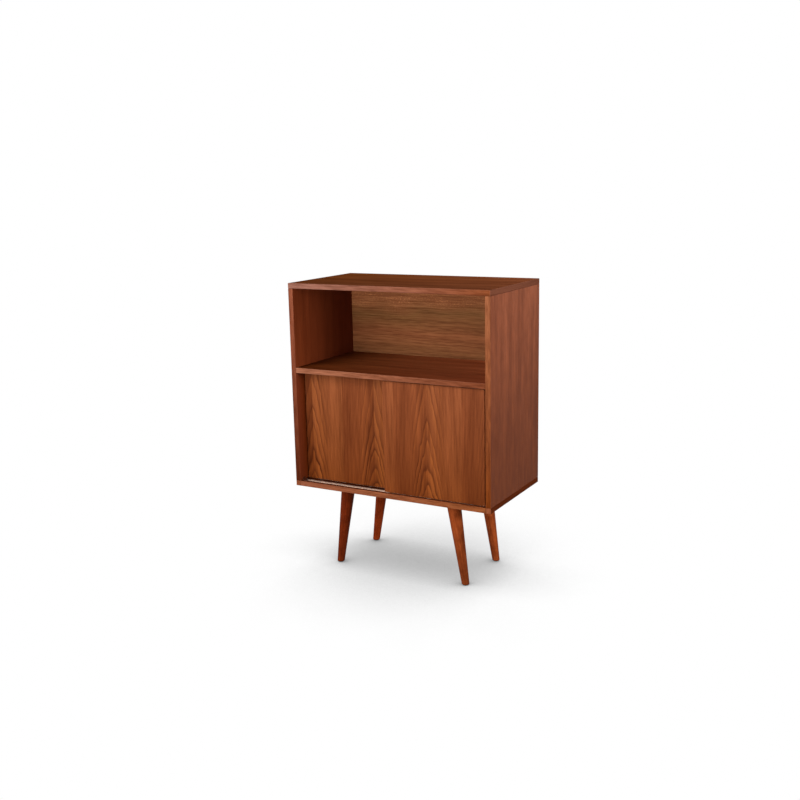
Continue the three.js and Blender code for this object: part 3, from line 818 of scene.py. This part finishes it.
def aluminium():
    """Aluminium with fine lines, as it is drawn."""
    s = Shader("track_aluminium")
    place = s.separate(s.place())
    lines = s.scaled(place, DRAWN_SCALES, METAL_DETAIL)
    dull = s.scaled(place, DULL_SCALES, METAL_DETAIL)
    return metal(s, dull, lines, **ALUMINIUM)


def zinc():
    """Zinc-plated steel with a fine spangle."""
    s = Shader("zinc_steel")
    spangle = s.noise(s.place(), **SPANGLE)
    return metal(s, spangle, spangle, **ZINC)


def plastic(name, tones, rough, shine):
    """Moulded plastic with a fine leathery grain."""
    s = Shader(name)
    place = s.place()
    grain = s.noise(place, **LEATHERY)
    return s.finish(
        Base_Color=s.mix(s.noise(place, **PLASTIC_CLOUD), *paints(tones)),
        Roughness=s.remap(grain, *NOISE_RANGE, rough - PLASTIC_UNEVEN, rough + PLASTIC_UNEVEN),
        Specular_IOR_Level=shine,
        Normal=s.bump(grain, *PLASTIC_RELIEF),
    )


def give(names, material):
    """Gives CAD nodes a material in their own slots."""
    for name in names:
        for slot in nodes[name].material_slots:
            slot.link = "OBJECT"
            slot.material = material


def named(*words):
    """Nodes whose name holds one of the words."""
    return [name for name in nodes if any(word in name for word in words)]


def dress():
    """Gives every CAD node but the legs its material."""
    give(["top_panel"], top_veneer())
    give(["bottom_panel"], bottom_veneer())
    give(["middle_shelf"], shelf_veneer())
    give(["back_panel"], back_veneer())
    for name, side in SIDES.items():
        give([name], side_veneer(name, **side))
    for name, door in DOORS.items():
        give([name], door_veneer(name, **door))
    give(named("dowel"), turned_wood("dowel_wood", **DOWELS))
    give([name for name in named("_track", "_channel") if "stop" not in name], aluminium())
    give(named("leg_plate", "plate_screw", "hanger_bolt"), zinc())
    words = {"dark_plastic": ("foot_pad",), "brown_plastic": ("stop",), "nylon": ("_glide_", "_guide_pin_")}
    for name, finish in PLASTICS.items():
        give(named(*words[name]), plastic(name, **finish))


def leg_profile(top_radius, length):
    """Radius and height of each ring of a leg: a rounded foot, an even taper and a chamfered head."""
    profile = []
    for i in range(FOOT_STEPS + 1):
        angle = pi / 2 * i / FOOT_STEPS
        profile.append((FOOT_RADIUS - FOOT_ROUND * (1 - sin(angle)), FOOT_ROUND * (1 - cos(angle))))
    body = length - FOOT_ROUND - HEAD_CHAMFER
    for i in range(1, LEG_RINGS + 1):
        share = i / LEG_RINGS
        profile.append((FOOT_RADIUS + (top_radius - FOOT_RADIUS) * share, FOOT_ROUND + body * share))
    profile.append((top_radius - HEAD_CHAMFER, length))
    return profile


def leg_mesh(name, profile, slant, turn):
    """Closed mesh of rings, each less slanted than the one below it, turned into its place."""
    mesh = bmesh.new()
    length = profile[-1][1]
    rings = []
    for radius, height in profile:
        ring = []
        for k in range(LEG_SEGMENTS):
            angle = 2 * pi * k / LEG_SEGMENTS
            x, y = radius * cos(angle), radius * sin(angle)
            rise = slant * (1 - height / length) * x
            ring.append(mesh.verts.new(turn @ Vector((x, y, height + rise))))
        rings.append(ring)
    for lower, upper in zip(rings, rings[1:]):
        for k in range(LEG_SEGMENTS):
            beside = (k + 1) % LEG_SEGMENTS
            mesh.faces.new((lower[k], lower[beside], upper[beside], upper[k]))
    mesh.faces.new(rings[0][::-1])
    mesh.faces.new(rings[-1])
    data = bpy.data.meshes.new(name)
    mesh.to_mesh(data)
    mesh.free()
    for polygon in data.polygons:
        polygon.use_smooth = len(polygon.vertices) == 4
    return data


def make_leg(place, seed, tones):
    """Tapered round leg in place of the faceted one, with a level foot."""
    low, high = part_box("leg_" + place)
    pad_low, pad_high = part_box("foot_pad_" + place)
    foot = (pad_low + pad_high) / 2
    foot.z = low.z
    side = 1 if foot.x > 0 else -1
    tilt = radians(LEG_SPLAY)
    top_radius = (high.y - low.y) / 2
    length = (high.z - low.z - (top_radius - HEAD_CHAMFER) * sin(tilt)) / cos(tilt)
    turn = Matrix.Translation(foot) @ Matrix.Rotation(-side * tilt, 4, "Y")
    slant = -side * tan(tilt)
    name = "turned_leg_" + place
    data = leg_mesh(name, leg_profile(top_radius, length), slant, turn)
    data.materials.append(turned_wood("leg_wood_" + place, seed, tones, foot, slant))
    leg = bpy.data.objects.new(name, data)
    bpy.context.scene.collection.objects.link(leg)
    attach(leg, "root")
    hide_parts("leg_" + place)


def make_legs():
    for place, leg in LEGS.items():
        make_leg(place, **leg)


def make_camera():
    yaw, pitch, roll = radians(CAMERA_YAW), radians(CAMERA_PITCH), radians(CAMERA_ROLL)
    forward = Vector((sin(yaw) * cos(pitch), cos(yaw) * cos(pitch), -sin(pitch)))
    right = Vector((cos(yaw), -sin(yaw), 0))
    up = right.cross(forward)
    rolled_right = right * cos(roll) + up * sin(roll)
    rolled_up = up * cos(roll) - right * sin(roll)
    data = bpy.data.cameras.new("camera")
    data.sensor_fit = "HORIZONTAL"
    data.sensor_width = SENSOR_WIDTH
    data.lens = CAMERA_LENS
    camera = bpy.data.objects.new("camera", data)
    turn = Matrix((rolled_right, rolled_up, -forward)).transposed().to_4x4()
    camera.matrix_world = Matrix.Translation(CAMERA_PLACE) @ turn
    bpy.context.scene.collection.objects.link(camera)
    bpy.context.scene.camera = camera


def make_lamp(name, place, aim, size, power):
    data = bpy.data.lights.new(name, "AREA")
    data.shape = "RECTANGLE"
    data.size, data.size_y = size
    data.energy = power
    lamp = bpy.data.objects.new(name, data)
    lamp.location = place
    lamp.visible_camera = False
    lamp.rotation_euler = (Vector(aim) - Vector(place)).to_track_quat("-Z", "Y").to_euler()
    bpy.context.scene.collection.objects.link(lamp)
    return lamp


def spare(lamps, piece):
    """Keeps lamps off a piece, which then has the sky's light and shade alone."""
    spared = bpy.data.collections.new("spared")
    spared.objects.link(piece)
    spared.collection_objects[0].light_linking.link_state = "EXCLUDE"
    for lamp in lamps:
        lamp.light_linking.receiver_collection = spared


def seen_share(tree):
    """1 for what the camera, a reflection or glass sees, and 0 for what lights a surface."""
    path = tree.nodes.new("ShaderNodeLightPath")
    total = path.outputs["Is Camera Ray"]
    for key in ("Is Glossy Ray", "Is Transmission Ray"):
        node = tree.nodes.new("ShaderNodeMath")
        node.operation = "MAXIMUM"
        tree.links.new(total, node.inputs[0])
        tree.links.new(path.outputs[key], node.inputs[1])
        total = node.outputs[0]
    return total


def make_world():
    """White sky where it is seen, and a weaker one that lights the object."""
    world = bpy.data.worlds.new("studio")
    world.use_nodes = True
    tree = world.node_tree
    background = tree.nodes["Background"]
    background.inputs["Color"].default_value = WHITE
    strength = tree.nodes.new("ShaderNodeMapRange")
    strength.inputs["To Min"].default_value = SKY_STRENGTH
    strength.inputs["To Max"].default_value = 1
    tree.links.new(seen_share(tree), strength.inputs["Value"])
    tree.links.new(strength.outputs[0], background.inputs["Strength"])
    bpy.context.scene.world = world


def floor_surface():
    """Pale floor that reaches white where nothing shades it."""
    s = Shader("floor")
    seen = s.nodes.new("ShaderNodeEmission")
    s.feed(seen.inputs["Color"], s.remap(s.openness(FLOOR_REACH), *SHADE_SHARES, *SHADE_TONES))
    unseen = s.nodes.new("ShaderNodeBsdfDiffuse")
    unseen.inputs["Color"].default_value = paint(*FLOOR_COLOUR)
    both = s.nodes.new("ShaderNodeMixShader")
    output = s.nodes.new("ShaderNodeOutputMaterial")
    s.links.new(seen_share(s.material.node_tree), both.inputs[0])
    s.links.new(unseen.outputs[0], both.inputs[1])
    s.links.new(seen.outputs[0], both.inputs[2])
    s.links.new(both.outputs[0], output.inputs["Surface"])
    return s.material


def make_floor():
    half = FLOOR_SIZE / 2
    corners = [(-half, -half, 0), (half, -half, 0), (half, half, 0), (-half, half, 0)]
    data = bpy.data.meshes.new("floor")
    data.from_pydata(corners, [], [(0, 1, 2, 3)])
    data.materials.append(floor_surface())
    floor = bpy.data.objects.new("floor", data)
    bpy.context.scene.collection.objects.link(floor)
    return floor


dress()
make_legs()
make_camera()
make_world()
spare([make_lamp(name, **lamp) for name, lamp in LAMPS.items()], make_floor())
bpy.context.scene.view_settings.view_transform = "Standard"
